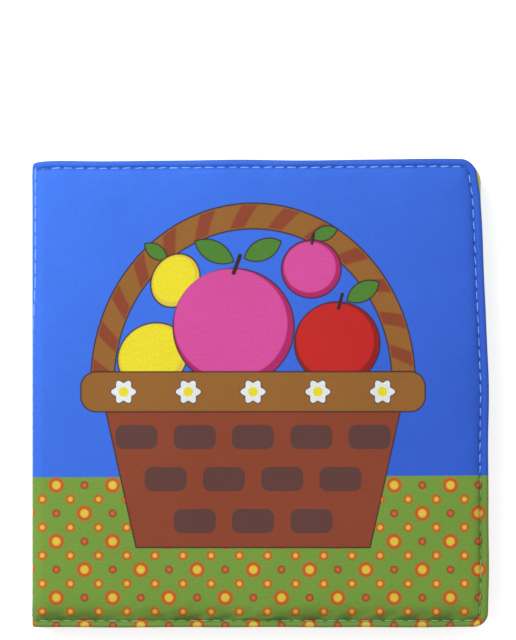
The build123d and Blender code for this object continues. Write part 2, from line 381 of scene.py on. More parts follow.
class Seams:
    """The stitch rows of one leaf, in millimetres on the flat leaf."""

    def __init__(self, head, tail, low, high, start, cover):
        seams = bpy.context.scene.book_seams
        self.head_in, self.fore_in = seams.head_inset / MM, seams.fore_inset / MM
        self.tail_in, pitch = seams.tail_inset / MM, seams.pitch / MM
        self.low, self.high, self.head, self.tail, self.cover = low, high, head, tail, cover
        top, bottom = high - self.head_in, low + self.tail_in
        self.head_row = (*spread(start, self.fore(top) - 1.9, pitch), top)
        self.tail_row = (*spread(start, self.fore(bottom) - 1.6, pitch), bottom)
        self.fore_row = spread(bottom + 1.5, top - 2.0, pitch)
        self.spine_row = spread(low + 1.5, high - 1.4, pitch * 1.2)

    def edge(self, y):
        """Distance from the spine to the fore-edge."""
        reach = lean(y, self.head, self.tail)
        return reach - tucked(y) if self.cover else reach

    def fore(self, y):
        """Distance from the spine to the row along the fore-edge."""
        return self.edge(y) - self.fore_in


def pucker(along, row, seed):
    """1 at the middle of each stitch and -1 at the needle holes, uneven from stitch to stitch."""
    place = (along - row[0][0]) / row[1]
    number = np.clip(np.round(place).astype(int), -2, 60) + 2
    uneven = 0.55 + 0.45 * np.random.default_rng(seed).random(64)
    return np.cos(2 * math.pi * place) * uneven[number]


def leaf_relief(seams, x, far, y, from_spine, full, seed, calm=1.0):
    """Half-thickness of a leaf over its rim, seams and pad, and how much painted shade each point gets,
    most in the seams' needle holes and grooves.
    """
    leaves = bpy.context.scene.book_leaves
    pad_half, rim_half = leaves.pad / MM / 2, leaves.rim / MM / 2
    from_low, from_high = y - seams.low, seams.high - y
    d = np.minimum(far, np.minimum(from_low, from_high))
    gaps = np.stack([far - seams.fore_in, from_high - seams.head_in, from_low - seams.tail_in])
    which = np.argmin(gaps, axis=0)
    q = gaps.min(axis=0)
    rounded = np.sqrt(np.clip(1 - (1 - np.clip(d / 0.9, 0, 1)) ** 2, 0, 1))
    beyond = from_spine < 0
    hump = (rim_half - WEB_HALF) * smooth(0.1, 1.05, -q) * (1 - np.exp(-(from_spine / 1.0) ** 2))
    wall = 0.16 * (1 - np.exp(-(from_spine / 0.4) ** 2)) * beyond
    outside = rounded * (WEB_HALF + np.where(beyond, 0, hump) + wall)
    steep = 1.25 + 0.35 * ripple(x, y, seed + 9, 21, 6)
    steep = np.clip(steep * np.where(which == 2, 2.0, 1.0), 0.7, 3.4)
    rise = 1 - np.exp(-np.clip(q, 0, None) / steep)
    rise = rise * (1 - np.exp(-np.clip(from_spine, 0, None) / 1.0)) * full
    inside = WEB_HALF + (pad_half - WEB_HALF) * rise
    inside = np.where(beyond, WEB_HALF + wall, inside)
    height = np.where(q < 0, outside, inside)
    waves = np.choose(which, [pucker(y, seams.fore_row, seed + 2), pucker(x, seams.head_row, seed),
                              pucker(x, seams.tail_row, seed + 1)])
    close = np.exp(-np.abs(q) / np.where(q < 0, 0.45, 1.0)) * (from_spine > 0.4)
    height = height + 0.09 * waves * close * rounded
    hole = np.clip(-waves, 0, 1) ** 2 * np.exp(-((q + 0.05) / 0.32) ** 2) * (from_spine > 0.4)
    height = height - 0.16 * hole
    spine_wave = pucker(y, seams.spine_row, seed + 3)
    near = np.exp(-np.abs(from_spine) / np.where(beyond, 0.4, 0.9))
    height = height + 0.07 * spine_wave * near * rounded
    spine_hole = np.clip(-spine_wave, 0, 1) ** 3 * np.exp(-((from_spine - 0.1) / 0.35) ** 2)
    height = height - 0.1 * spine_hole * rounded
    along = np.where(which == 0, y, x)
    gathers = ripple(along, which * 40.0, seed + 4, 8.0, 6)
    gathers = gathers + 0.6 * ripple(along, q * 1.5, seed + 5, 4.5, 5)
    depth = np.where(which == 2, 0.2, 0.08) * calm
    height = height + depth * gathers * np.exp(-np.clip(q, 0, None) / 3.0) * smooth(0.15, 1.8, q)
    # Painted shade along the seam groove
    groove = np.exp(-(np.clip(np.abs(q) - 0.1, 0, None) / 0.4) ** 2) * (from_spine > 0)
    # Painted shade in a patchy band above the tail seam, where the pad slopes down away from the lamp
    shade = (0.75 + 0.3 * np.clip(gathers, -1, 1)) * np.exp(-(q / 3.4) ** 2)
    shade = shade * (which == 2) * smooth(0, 0.4, q)
    # Painted shade along the outermost half millimetre of the leaf's edge
    painted_edge_shade = 0.5 * (1 - smooth(0, 0.5, d))
    # All painted shade: needle holes, spine holes, seam groove, the band above the tail seam and the
    # outer edge; the rim outside the seam is a little darker too
    deep = 0.9 * hole + 0.5 * spine_hole + 0.3 * groove + 0.15 * (q < -0.35) + shade + painted_edge_shade
    deep = np.clip(deep, 0, 1)
    return np.maximum(height, 0.0), d, q, deep


def round_corner(a, b, radius):
    """Moves points near a square corner, a and b from its sides, so that the corner is round."""
    inset = np.minimum(a, b)
    near = (a < radius) & (b < radius)
    span = np.maximum(radius - inset, 1e-6)
    share = np.clip((np.maximum(a, b) - inset) / span, 0, 1)
    turn = (1 - share) * math.pi / 4
    deep = radius - span * np.cos(turn)
    wide = radius - span * np.sin(turn)
    new_a = np.where(a <= b, deep, wide)
    new_b = np.where(a <= b, wide, deep)
    return np.where(near, new_a, a), np.where(near, new_b, b)


def round_corners(seams, x, y, head_share, tail_share):
    """How far the two free corners move each point towards the fore-edge, and its new height."""
    corner = bpy.context.scene.book_leaves.corner / MM
    far = seams.edge(y) - x
    moved, high = round_corner(far, seams.high - y, head_share * corner)
    moved, low = round_corner(moved, y - seams.low, tail_share * corner)
    return far - moved, np.where(y > HEIGHT / 2, seams.high - high, seams.low + low)


def path_lengths(x, z):
    """Distance along a line of points, with its last straight run's start as 0."""
    s = np.concatenate([[0], np.cumsum(np.hypot(np.diff(x), np.diff(z)))])
    return s - s[-2]


def cover_path():
    """Middle line of a cover's cloth: up the spine, over the shoulder and along the leaf."""
    rise = MIDDLE - bpy.context.scene.book_leaves.pad / MM / 2
    foot = SHOULDER - SHOULDER_TURN
    up = np.linspace(0, 1, 24)[:-1]
    turn = np.linspace(0, math.pi / 2, 30)
    x = np.concatenate([foot - 0.3 + 0.3 * up ** 2, SHOULDER - SHOULDER_TURN * np.cos(turn), [PATH_END]])
    z = np.concatenate([(rise - SHOULDER_TURN) * up, rise - SHOULDER_TURN * (1 - np.sin(turn)), [rise]])
    return path_lengths(x, z), x, z


def along_path(path, s):
    """Point and direction at a distance along a middle line."""
    lengths, xs, zs = path
    x, z = np.interp(s, lengths, xs), np.interp(s, lengths, zs)
    tx = np.interp(s + 0.03, lengths, xs) - np.interp(s - 0.03, lengths, xs)
    tz = np.interp(s + 0.03, lengths, zs) - np.interp(s - 0.03, lengths, zs)
    size = np.hypot(tx, tz)
    return x, z, tx / size, tz / size


def page_path():
    """Middle line of the folded pages: round the fold from its outermost point, then along a leaf."""
    offset = (bpy.context.scene.book_leaves.pad / MM + LEAF_GAP) / 2
    centre = FOLD_START + offset
    turn = np.linspace(0, math.pi / 2, 40)
    x = np.append(centre - offset * np.cos(turn), PATH_END)
    z = np.append(offset * np.sin(turn), offset)
    return path_lengths(x, z), x, z


def sheet_mesh(name, columns, rows):
    """A closed double sheet as a mesh, with the column, row and side of its points."""
    mesh = make_mesh(name, double_grid(len(columns), len(rows)))
    column, row, side = read_points(mesh)
    return mesh, column, columns[column], rows[row], side == 1


def turn_outwards(mesh, reach=0):
    """Turns the faces outwards and smooths them, once points within reach are joined."""
    bm = bmesh.new()
    bm.from_mesh(mesh)
    if reach:
        bmesh.ops.remove_doubles(bm, verts=bm.verts[:], dist=reach)
    bmesh.ops.recalc_face_normals(bm, faces=bm.faces[:])
    bm.to_mesh(mesh)
    bm.free()
    mesh.shade_smooth()


def finish_mesh(mesh, co, flat_uv, deep):
    """Sets the points, closes the edge, turns the faces outwards and writes the cloth's own map and its
    painted shade.
    """
    mesh.vertices.foreach_set("co", (co * MM).ravel())
    layer = mesh.uv_layers.new(name="Cloth")
    layer.data.foreach_set("uv", (flat_uv * MM)[read(mesh.loops, "vertex_index")].ravel())
    # Painted shade of holes, grooves and edges, kept on every point for the cloth's material
    painted_shade = mesh.attributes.new("deep", "FLOAT", "POINT")
    painted_shade.data.foreach_set("value", deep.astype(np.float32))
    turn_outwards(mesh, 2e-6)


def face_sides(mesh):
    """For each face, whether it is on the leaf's outside, and its height over the table."""
    side = read_points(mesh)[2][read(mesh.loops, "vertex_index")]
    outside = np.maximum.reduceat(side, read(mesh.polygons, "loop_start")) == 1
    return outside, read(mesh.polygons, "center", float, 3)[:, 2]


def cover_mesh(name, upper):
    """One cover with its half of the spine cloth. The lower cover is the upper one turned over."""
    leaves = bpy.context.scene.book_leaves
    kind = "front" if upper else "back"
    head, tail = (getattr(leaves, f"{kind}_{end}") / MM for end in ("head", "tail"))
    widest = max(head, tail)
    path = cover_path()
    seams = Seams(head, tail, 0, HEIGHT, 2.2, True)
    turn = SHOULDER_TURN * math.pi / 2
    columns = list(np.linspace(path[0][0], -turn, 9)[:-1]) + list(np.linspace(-turn, 0, 8)[:-1])
    flat = widest - SHOULDER
    columns += list(SPINE_STEPS) + steps(SPINE_STEPS[-1], flat - EDGE_STEPS[-1], COVER_STEP)
    columns = np.array(columns + from_far_edge(flat))
    rows = np.array(rim_to_rim(HEIGHT, COVER_STEP))
    mesh, column, s, y, out = sheet_mesh(name, columns, rows)
    reach = seams.edge(y)
    s = np.where(s > 0, s * (reach - SHOULDER) / flat, s)
    x = SHOULDER + s
    seed = 11 if upper else 23
    from_spine = s - shoulder_seam(y)
    full = smooth(-1.7, 2.0, s)
    outer, d, q, deep = leaf_relief(seams, x, reach - x, y, from_spine, full, seed)
    inner, *_ = leaf_relief(seams, x, reach - x, y, from_spine, full, seed, 0.3)
    inside = smooth(0, 10, q) * smooth(0, 9, x)
    puff = swelling(widest - 5, HEIGHT - 5, seed)
    swell = sample(puff, x / (reach - 2.6), (y - 2) / (HEIGHT - 4.4)) * inside * leaves.swell / MM
    swell = swell + 0.13 * ripple(x, y, seed + 3, 46) * inside
    outer = outer + (swell if upper else np.minimum(swell, 0))
    sunk = hollows(x, y, seed + 13) * inside
    half = np.where(out, outer, -np.minimum(inner, leaves.pad / MM / 2) + sunk)
    px, pz, tx, tz = along_path(path, s)
    level = np.where(column == 0, 0, pz + half * tx)
    rounding, plan_y = round_corners(seams, x, y, 1, 0.92)
    moved_x, plan_y = settle(x, plan_y, seed + 5)
    plan_x = px - half * tz + rounding + moved_x - x
    lift = 0.2 * ripple(x + y, x - y, seed + 7, 38, 5) * (1 - smooth(0, 3.2, d)) * smooth(4, 10, x)
    level = np.where(column == 0, 0, level + lift)
    sign = 1 if upper else -1
    co = np.stack([SPINE + plan_x, TAIL + plan_y, MIDDLE + sign * level], axis=1)
    co[:, 2] = np.maximum(co[:, 2], 0.0)
    finish_mesh(mesh, co, np.stack([x, y], axis=1), deep)
    sharpen_cut(mesh)
    mesh.polygons.foreach_set("material_index", np.where(face_sides(mesh)[0], 0, 1))
    return mesh, stitch_places(seams, path, upper, seed)


def sharpen_cut(mesh):
    """Keeps the edges at mid-height of the spine sharp, where the two covers meet."""
    column = read_points(mesh)[0]
    sharp = (column[read(mesh.edges, "vertices", width=2)] == 0).all(axis=1)
    mesh.edges.foreach_set("use_edge_sharp", sharp)


def stitch_places(seams, path, upper, seed):
    """Every stitch of a cover: middle, direction, way out and pitch, which is negative on the spine."""
    flat = float(path[2][-1])
    sign = 1 if upper else -1
    found = []

    def on_both_sides(x, y, run, pitch):
        mx, my = settle(np.array(x), np.array(y), seed + 5)
        found.extend(((mx, my, flat + way * WEB_HALF), run, (0, 0, way), pitch) for way in (1, -1))

    for places, pitch, level in (seams.head_row, seams.tail_row):
        for x in places:
            on_both_sides(x, level, (1, 0, 0), pitch)
    for y in seams.fore_row[0]:
        x0, x1 = seams.fore(y - 1), seams.fore(y + 1)
        size = math.hypot(x1 - x0, 2)
        on_both_sides((x0 + x1) / 2, y, ((x1 - x0) / size, 2 / size, 0), seams.fore_row[1])
    for y in seams.spine_row[0]:
        s = float(shoulder_seam(y))
        px, pz, tx, tz = along_path(path, s)
        mx, my = settle(np.array(0.6), np.array(y), seed + 5)
        spot = (px - WEB_HALF * tz + mx - 0.6, my, pz + WEB_HALF * tx)
        found.append((spot, (0, 1, 0), (-tz, 0, tx), -seams.spine_row[1]))
    return [((SPINE + p[0], TAIL + p[1], MIDDLE + sign * p[2]), run, (n[0], n[1], sign * n[2]), pitch)
            for p, run, n, pitch in found]


def place(name, mesh, body, *materials):
    """Puts a finished mesh in the scene, riding on a body when one is given."""
    for material in materials:
        mesh.materials.append(material)
    piece = bpy.data.objects.new(name, mesh)
    bpy.context.scene.collection.objects.link(piece)
    if body:
        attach(piece, body)
    return piece


class Paint:
    """Short ways to lay the shader nodes of one material."""

    def __init__(self, name):
        self.material = bpy.data.materials.new(name)
        self.material.use_nodes = True
        self.tree = self.material.node_tree
        self.shader = next(n for n in self.tree.nodes if n.type == "BSDF_PRINCIPLED")
        self.count = 0

    def feed(self, made, inputs):
        """Puts values, or links from other nodes, on a node's inputs."""
        for key, value in inputs.items():
            if isinstance(value, bpy.types.NodeSocket):
                self.tree.links.new(value, made.inputs[key])
            else:
                made.inputs[key].default_value = value

    def node(self, kind, inputs, **settings):
        """A new node with its settings and what goes in."""
        made = self.tree.nodes.new("ShaderNode" + kind)
        made.location = (-300 - 180 * (self.count // 8), 400 - 150 * (self.count % 8))
        self.count += 1
        for key, value in settings.items():
            setattr(made, key, value)
        self.feed(made, inputs)
        return made

    def math(self, operation, first, second=0.0, clamp=False):
        """A sum, product or other result of two numbers."""
        made = self.node("Math", {0: first, 1: second}, operation=operation, use_clamp=clamp)
        return made.outputs[0]

    def scaled(self, value, factor):
        """A value times a factor."""
        return self.math("MULTIPLY", value, factor)

    def wave(self, value, length):
        """A sine wave of that length."""
        return self.math("SINE", self.scaled(value, 2 * math.pi / length))

    def vector(self, operation, first, second=(0, 0, 0), third=(0, 0, 0)):
        """A sum, product or other result of up to three vectors."""
        made = self.node("VectorMath", {0: first, 1: second, 2: third}, operation=operation)
        return made.outputs["Value" if operation in ("LENGTH", "DISTANCE") else "Vector"]

    def split(self, vector):
        """The x and y of a vector."""
        made = self.node("SeparateXYZ", {0: vector})
        return made.outputs[0], made.outputs[1]

    def grey(self, value):
        """A value as a grey colour."""
        return self.node("CombineXYZ", {0: value, 1: value, 2: value}).outputs[0]

    def bump(self, height, distance):
        """Gives the surface a fine relief, with its full depth in metres."""
        made = self.node("Bump", {"Strength": BUMP_STRENGTH, "Distance": distance, "Height": height})
        self.feed(self.shader, {"Normal": made.outputs[0]})

    def step(self, value, edge, soft=INK_EDGE):
        """1 below the edge and 0 above it, with a soft border as ink has on cloth."""
        border = {"From Min": edge - soft, "From Max": edge + soft, "To Min": 1, "To Max": 0}
        made = self.node("MapRange", {"Value": value, **border}, interpolation_type="SMOOTHSTEP")
        return made.outputs["Result"]

    def mix(self, share, first, second, blend="MIX"):
        """A share of the second colour over the first."""
        first, second = (value if isinstance(value, bpy.types.NodeSocket) else (*value, 1)
                         for value in (first, second))
        made = self.node("Mix", {0: share, 6: first, 7: second}, data_type="RGBA", blend_type=blend)
        return made.outputs[2]

    def noise(self, vector, scale, detail=2.0, roughness=0.5):
        """Random cloud from 0 to 1."""
        inputs = {"Vector": vector, "Scale": scale, "Detail": detail, "Roughness": roughness}
        return self.node("TexNoise", inputs).outputs["Fac"]


def cloth_finish(paint, colour, place_mm):
    """Plain weave, uneven dye, painted shade in the seams and along the edges, and the low sheen of
    printed satin-like cotton.
    """
    x, y = paint.split(place_mm)
    weave = paint.math("MULTIPLY", paint.wave(x, WEAVE), paint.wave(y, WEAVE))
    grain = paint.noise(place_mm, 1.5, 3.0, 0.6)
    slub = paint.noise(paint.vector("MULTIPLY", place_mm, (0.25, 2.2, 1)), 1.0, 2.0)
    cloud = paint.noise(place_mm, 0.05, 4.0, 0.6)
    tone = paint.math("ADD", 0.91, paint.scaled(cloud, 0.15))
    tone = paint.math("ADD", tone, paint.scaled(paint.math("SUBTRACT", grain, 0.5), 0.42))
    tone = paint.math("ADD", tone, paint.scaled(paint.math("SUBTRACT", slub, 0.5), 0.14))
    tone = paint.math("ADD", tone, paint.scaled(weave, 0.03))
    # Painted shade, read from the cloth's points: darker in the needle holes and seam grooves, above the
    # tail seam and along the outer edge
    deep = paint.node("Attribute", {}, attribute_name="deep").outputs["Fac"]
    tone = paint.math("MULTIPLY", tone, paint.math("SUBTRACT", 1.0, paint.scaled(deep, 0.5)))
    relief = paint.math("ADD", paint.scaled(weave, 0.35), paint.scaled(grain, 0.9))
    paint.bump(paint.math("ADD", relief, paint.scaled(slub, 0.5)), 0.0001)
    paint.feed(paint.shader, {
        "Base Color": paint.mix(1.0, colour, paint.grey(tone), "MULTIPLY"),
        "Roughness": paint.math("ADD", 0.6, paint.scaled(grain, 0.16)),
        "Specular IOR Level": 0.28, "Sheen Weight": 0.1, "Sheen Roughness": 0.45})


def millimetres(paint, vector):
    """Metres to millimetres."""
    return paint.vector("MULTIPLY", vector, (1000, 1000, 1000))


def printed_place(paint):
    """Place on the flat cloth in millimetres, read from the cloth's own map."""
    return millimetres(paint, paint.node("UVMap", {}, uv_map="Cloth").outputs[0])


def below(paint, place_mm, level, slope=0.0):
    """1 under a nearly level line across the cloth."""
    x, y = paint.split(place_mm)
    return paint.step(paint.math("SUBTRACT", y, paint.scaled(x, slope)), level, 0.16)


def lattice(paint, place_mm, offset, pitch):
    """Distance to the nearest point of a square lattice."""
    moved = paint.vector("SUBTRACT", place_mm, (*offset, 0))
    half = pitch / 2
    wrapped = paint.vector("WRAP", moved, (half, half, 1000), (-half, -half, -1000))
    return paint.vector("LENGTH", wrapped)


def dotted_ground(paint, colours, place_mm):
    """Green ground with staggered ring dots, plain dots and little ring dots between them."""
    half = DOT_PITCH / 2
    x0, y0 = 3.45 + half / 2, 4.5 + 0.55 * half
    rings, plain = (
        paint.math("MINIMUM", lattice(paint, place_mm, (x0 + shift, y0), DOT_PITCH),
                   lattice(paint, place_mm, (x0 + half - shift, y0 + half), DOT_PITCH))
        for shift in (0, half))
    little = lattice(paint, place_mm, (x0 + half / 2, y0 + half / 2), half)
    colour = colours.ground
    for distance, edge, soft, fill in (
        (rings, 2.4, 0.36, colours.orange), (rings, 1.3, 0.36, colours.heart),
        (plain, 1.25, 0.34, colours.rust), (plain, 0.7, 0.45, colours.coral),
        (little, 1.5, 0.36, colours.orange), (little, 0.72, 0.42, colours.heart),
    ):
        colour = paint.mix(paint.step(distance, edge, soft), colour, fill)
    return colour


def draw(paint, colour, distance, edge, fill, line=OUTLINE_WIDTH):
    """One printed shape with its thin dark outline."""
    outline = bpy.context.scene.book_print.outline
    colour = paint.mix(paint.step(distance, edge + line), colour, outline)
    return paint.mix(paint.step(distance, edge), colour, fill)


def box_distance(paint, place_mm, centre, half, corner):
    """Distance outside a rectangle with round corners."""
    moved = paint.vector("ABSOLUTE", paint.vector("SUBTRACT", place_mm, (*centre, 0)))
    over = paint.vector("SUBTRACT", moved, (half[0] - corner, half[1] - corner, 1000))
    return paint.vector("LENGTH", paint.vector("MAXIMUM", over, (0, 0, 0)))


def turned(paint, spot, centre, degrees):
    """Place about a centre, turned."""
    inputs = {"Vector": spot, "Center": (*centre, 0), "Angle": math.radians(-degrees)}
    made = paint.node("VectorRotate", inputs, rotation_type="Z_AXIS")
    return paint.vector("SUBTRACT", made.outputs[0], (*centre, 0))


def oval(paint, spot, centre, radii, degrees):
    """Distance in an oval, equal to its smaller radius on its edge."""
    scale = (min(radii) / radii[0], min(radii) / radii[1], 0)
    return paint.vector("LENGTH", paint.vector("MULTIPLY", turned(paint, spot, centre, degrees), scale))


def leaf_shape(paint, spot, centre, length, width, degrees):
    """Distance outside a pointed leaf."""
    a, b = length / 2, width / 2
    radius = (a * a + b * b) / (2 * b)
    local = turned(paint, spot, centre, degrees)
    first = paint.vector("DISTANCE", local, (0, radius - b, 0))
    second = paint.vector("DISTANCE", local, (0, b - radius, 0))
    return paint.math("SUBTRACT", paint.math("MAXIMUM", first, second), radius)


def stalk(paint, colour, spot, centre, length, width, degrees, fill):
    """Short stalk with round ends."""
    local = turned(paint, spot, centre, degrees)
    reach = box_distance(paint, local, (0, 0), (length / 2, width / 2), width / 2)
    return paint.mix(paint.step(reach, width / 2), colour, fill)


def flower(paint, colours, colour, spot, centre):
    """Small white flower of six petals with a yellow middle."""
    local = paint.vector("SUBTRACT", spot, (*centre, 0))
    x, y = paint.split(local)
    angle = paint.math("ARCTAN2", y, x)
    petals = paint.scaled(paint.math("COSINE", paint.scaled(angle, 6.0)), 0.55)
    away = paint.vector("LENGTH", local)
    edge = paint.math("SUBTRACT", away, petals)
    colour = draw(paint, colour, edge, 3.3, colours.white, FLOWER_OUTLINE)
    return paint.mix(paint.step(away, 1.5), colour, colours.yellow)


def basket_picture(paint, colours, ground, place_mm):
    """A basket of fruit under a tall handle, drawn over the printed ground."""
    spot = paint.vector("SUBTRACT", place_mm, (*BASKET_CENTRE, 0))
    x, y = paint.split(spot)
    hoop_width, hoop_height, depth, foot_width = 46.5, 51.5, 53.0, 36.0
    hoop = paint.vector("ADD", spot, (0, 2, 0))
    hoop = paint.vector("MULTIPLY", hoop, (1, hoop_width / hoop_height, 0))
    across = paint.math("SUBTRACT", paint.vector("LENGTH", hoop), hoop_width)
    hoop = paint.math("ABSOLUTE", across)
    band = paint.math("ADD", hoop, paint.scaled(paint.math("LESS_THAN", y, -3.0), 100.0))
    colour = draw(paint, ground, band, 3.4, colours.handle)
    turn = paint.math("ARCTAN2", paint.math("ADD", y, 2.0), x)
    wraps = paint.math("ADD", paint.scaled(turn, 26.0), paint.scaled(across, 0.35))
    wraps = paint.step(paint.math("SINE", wraps), -0.35, 0.25)
    wraps = paint.math("MULTIPLY", wraps, paint.step(band, 3.1))
    colour = paint.mix(wraps, colour, colours.basket)
    for leaf in (((-12, 38.5), 13, 6, 152), ((3, 39), 12, 6, 25), ((34, 26), 11, 5.5, 30),
                 ((22, 44), 8, 4, 20), ((-30, 38.5), 8, 4, 145)):
        colour = draw(paint, colour, leaf_shape(paint, spot, *leaf), 0.0, colours.leaf)
    for place, radii, degrees, fill, edge in (
        ((-31, 6), (11, 9.8), 35, colours.yellow, colours.heart),
        ((-24, 29.5), (8.4, 7), 60, colours.yellow, colours.heart),
        ((26, 10), (13, 12.6), 0, colours.red, colours.crimson),
        ((18, 33), (9, 8.8), 0, colours.pink, colours.rose),
        ((-6, 15), (18.5, 18), 0, colours.pink, colours.rose),
    ):
        small = min(radii)
        colour = draw(paint, colour, oval(paint, spot, place, radii, degrees), small, edge)
        body = oval(paint, spot, (place[0] - 0.05 * small, place[1] + 0.06 * small),
                    (radii[0] - 1.0, radii[1] - 1.0), degrees)
        colour = paint.mix(paint.step(body, small - 1.0, 0.3), colour, fill)
    for stem in (((-5, 34.5), 7, 1.3, 70), ((27, 23), 5.5, 1.1, 75), ((18.5, 42.4), 4, 0.9, 80)):
        colour = stalk(paint, colour, spot, *stem, colours.outline)
    slope = paint.scaled(paint.math("ADD", y, depth), 10.0 / 45.0)
    side = paint.math("SUBTRACT", paint.math("ABSOLUTE", x), paint.math("ADD", slope, foot_width))
    foot = paint.math("SUBTRACT", -depth, y)
    lid = paint.math("ADD", y, 5.0)
    body = paint.math("MAXIMUM", paint.math("MAXIMUM", side, foot), lid)
    colour = draw(paint, colour, body, 0.0, colours.basket)
    for row_y, shift, reach in ((-19, 0.0, 45.0), (-32, 9.0, 36.0), (-45, 0.0, 27.0)):
        moved = paint.vector("SUBTRACT", spot, (shift, row_y, 0))
        wrapped = paint.vector("WRAP", moved, (9, 1000, 1000), (-9, -1000, -1000))
        block = box_distance(paint, wrapped, (0, 0), (6.5, 3.75), 2.5)
        limit = paint.scaled(paint.math("GREATER_THAN", paint.math("ABSOLUTE", x), reach), 50.0)
        colour = paint.mix(paint.step(paint.math("ADD", block, limit), 2.5), colour, colours.weave)
    colour = draw(paint, colour, box_distance(paint, spot, (0, -5), (53, 6), 4.5), 4.5, colours.handle)
    for px in (-40, -20, 0, 20, 40):
        colour = flower(paint, colours, colour, spot, (px, -5))
    return colour


def cover_material(name, picture):
    """Printed cloth of the covers, sky over dotted ground, with or without the basket."""
    colours = bpy.context.scene.book_print
    paint = Paint(name)
    place_mm = printed_place(paint)
    ground = dotted_ground(paint, colours, place_mm)
    x, y = paint.split(place_mm)
    # The blue deepens over 122 mm to the right and over 74 mm downwards
    across = paint.scaled(paint.math("SUBTRACT", x, 8.0), 0.636 / 122)
    down = paint.scaled(paint.math("SUBTRACT", 135.0, y), 0.364 / 74)
    sky = paint.mix(paint.math("ADD", across, down, True), colours.sky, colours.deep_sky)
    base = paint.mix(below(paint, place_mm, HORIZON, 0.004), sky, ground)
    if picture:
        base = basket_picture(paint, colours, base, place_mm)
    cloth_finish(paint, base, place_mm)
    return paint.material


def page_material(name, upper, first=RED, second=CREAM, square=CHECK):
    """Printed cloth of a page: plain colour over a checked ground."""
    paint = Paint(name)
    place_mm = printed_place(paint)
    wave = paint.vector("WRAP", place_mm, (square, square, 1000), (-square, -square, -1000))
    checked = paint.mix(paint.step(paint.math("MULTIPLY", *paint.split(wave)), 0.0, 0.8), first, second)
    base = paint.mix(below(paint, place_mm, FIELD_TOP), upper, checked)
    cloth_finish(paint, base, place_mm)
    return paint.material


def thread_material(name, printed):
    """Clear twisted thread that takes on the colour of the cloth under it."""
    seams = bpy.context.scene.book_seams
    paint = Paint(name)
    place_mm = millimetres(paint, paint.node("TexCoord", {}).outputs["Object"])
    x, y = paint.split(place_mm)
    colour = seams.colour
    if printed:
        colour = paint.mix(paint.step(y, TAIL + HORIZON + 0.3, 0.3), colour, seams.low_colour)
    tone = paint.math("ADD", 0.7, paint.scaled(paint.noise(place_mm, 1.4, 2.0), 0.6))
    colour = paint.mix(1.0, colour, paint.grey(tone), "MULTIPLY")
    paint.bump(paint.wave(paint.math("ADD", x, y), TWIST), 0.00005)
    paint.feed(paint.shader, {"Base Color": colour, "Roughness": 0.4})
    return paint.material


def sew(name, places, seed, body, material):
    """A leaf's stitches, each a short bowed thread with its ends drawn into the cloth."""
    seams = bpy.context.scene.book_seams
    bm = bmesh.new()
    bmesh.ops.create_uvsphere(bm, u_segments=6, v_segments=6, radius=1.0)
    one = bpy.data.meshes.new("one_stitch")
    bm.to_mesh(one)
    ball = np.array([vert.co[:] for vert in bm.verts])
    for _ in places[1:]:
        bm.from_mesh(one)
    mesh = make_mesh(name, bm)
    bpy.data.meshes.remove(one)
    rng = np.random.default_rng(seed)
    along, full = ball[:, 2], np.sqrt(np.clip(1 - ball[:, 2] ** 2, 0, 1))
    slim = np.where(full > 1e-6, np.clip(full, 1e-6, 1) ** -0.55, 0)
    points = []
    for spot, run, out, pitch in places:
        # In the head half of the book the stitches slant one way, in the tail half the other way
        way = 1 if spot[1] > 0 else -1
        wide = seams.thread / MM * rng.uniform(0.85, 1.15) / 2
        dense = 0.95 if pitch < 0 else rng.uniform(0.72, 0.85)
        long = abs(pitch) * dense / 2
        run, out = np.array(run, float), np.array(out, float)
        flat = np.cross(out, run)
        slant = math.radians(rng.uniform(-2, 2) if pitch < 0 else way * rng.uniform(-1, 9))
        cos, sin = math.cos(slant), math.sin(slant)
        run, flat = run * cos + flat * sin, flat * cos - run * sin
        spot = np.array([float(v) for v in spot]) + flat * rng.uniform(-0.06, 0.06)
        height = ball[:, 1] * slim * wide * 0.55 + 0.16 * full - 0.08
        points.append(spot + np.outer(along * long, run) + np.outer(ball[:, 0] * slim * wide, flat)
                      + np.outer(height, out))
    mesh.vertices.foreach_set("co", (np.concatenate(points) * MM).ravel())
    turn_outwards(mesh)
    return place(name, mesh, body, material)


class BOOK_OT_front_cover(bpy.types.Operator):
    """Makes the padded front cover with its half of the spine cloth and its stitches"""

    bl_idname = "cloth_book.front_cover"
    bl_label = "Front cover"

    def execute(self, context):
        mesh, stitches = cover_mesh("front_cloth", True)
        cover = place("front_cloth", mesh, None, cover_material("front_print", True),
                      page_material("inside_front_print", (0.12, 0.3, 0.78)))
        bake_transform(cover)
        prints = [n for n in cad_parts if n.startswith("print_")]
        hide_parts("front_cover", "front_ground", "inside_front_ground", *prints)
        thread = thread_material("cover_thread", True)
        stitches = sew("front_thread", stitches, 31, "front_cover", thread)
        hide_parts("front_stitches")
        return {"FINISHED"}


class BOOK_OT_back_cover(bpy.types.Operator):
    """Makes the padded back cover with its half of the spine cloth and its stitches"""

    bl_idname = "cloth_book.back_cover"
    bl_label = "Back cover"

    def execute(self, context):
        mesh, stitches = cover_mesh("back_cloth", False)
        cover = place("back_cloth", mesh, None, cover_material("back_print", False),
                      page_material("inside_back_print", TEAL, SAND, UMBER, WIDE_CHECK))
        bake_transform(cover)
        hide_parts("back_cover", "back_ground", "inside_back_ground")
        thread = bpy.data.materials["cover_thread"]
        stitches = sew("back_thread", stitches, 37, "back_cover", thread)
        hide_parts("back_stitches")
        return {"FINISHED"}


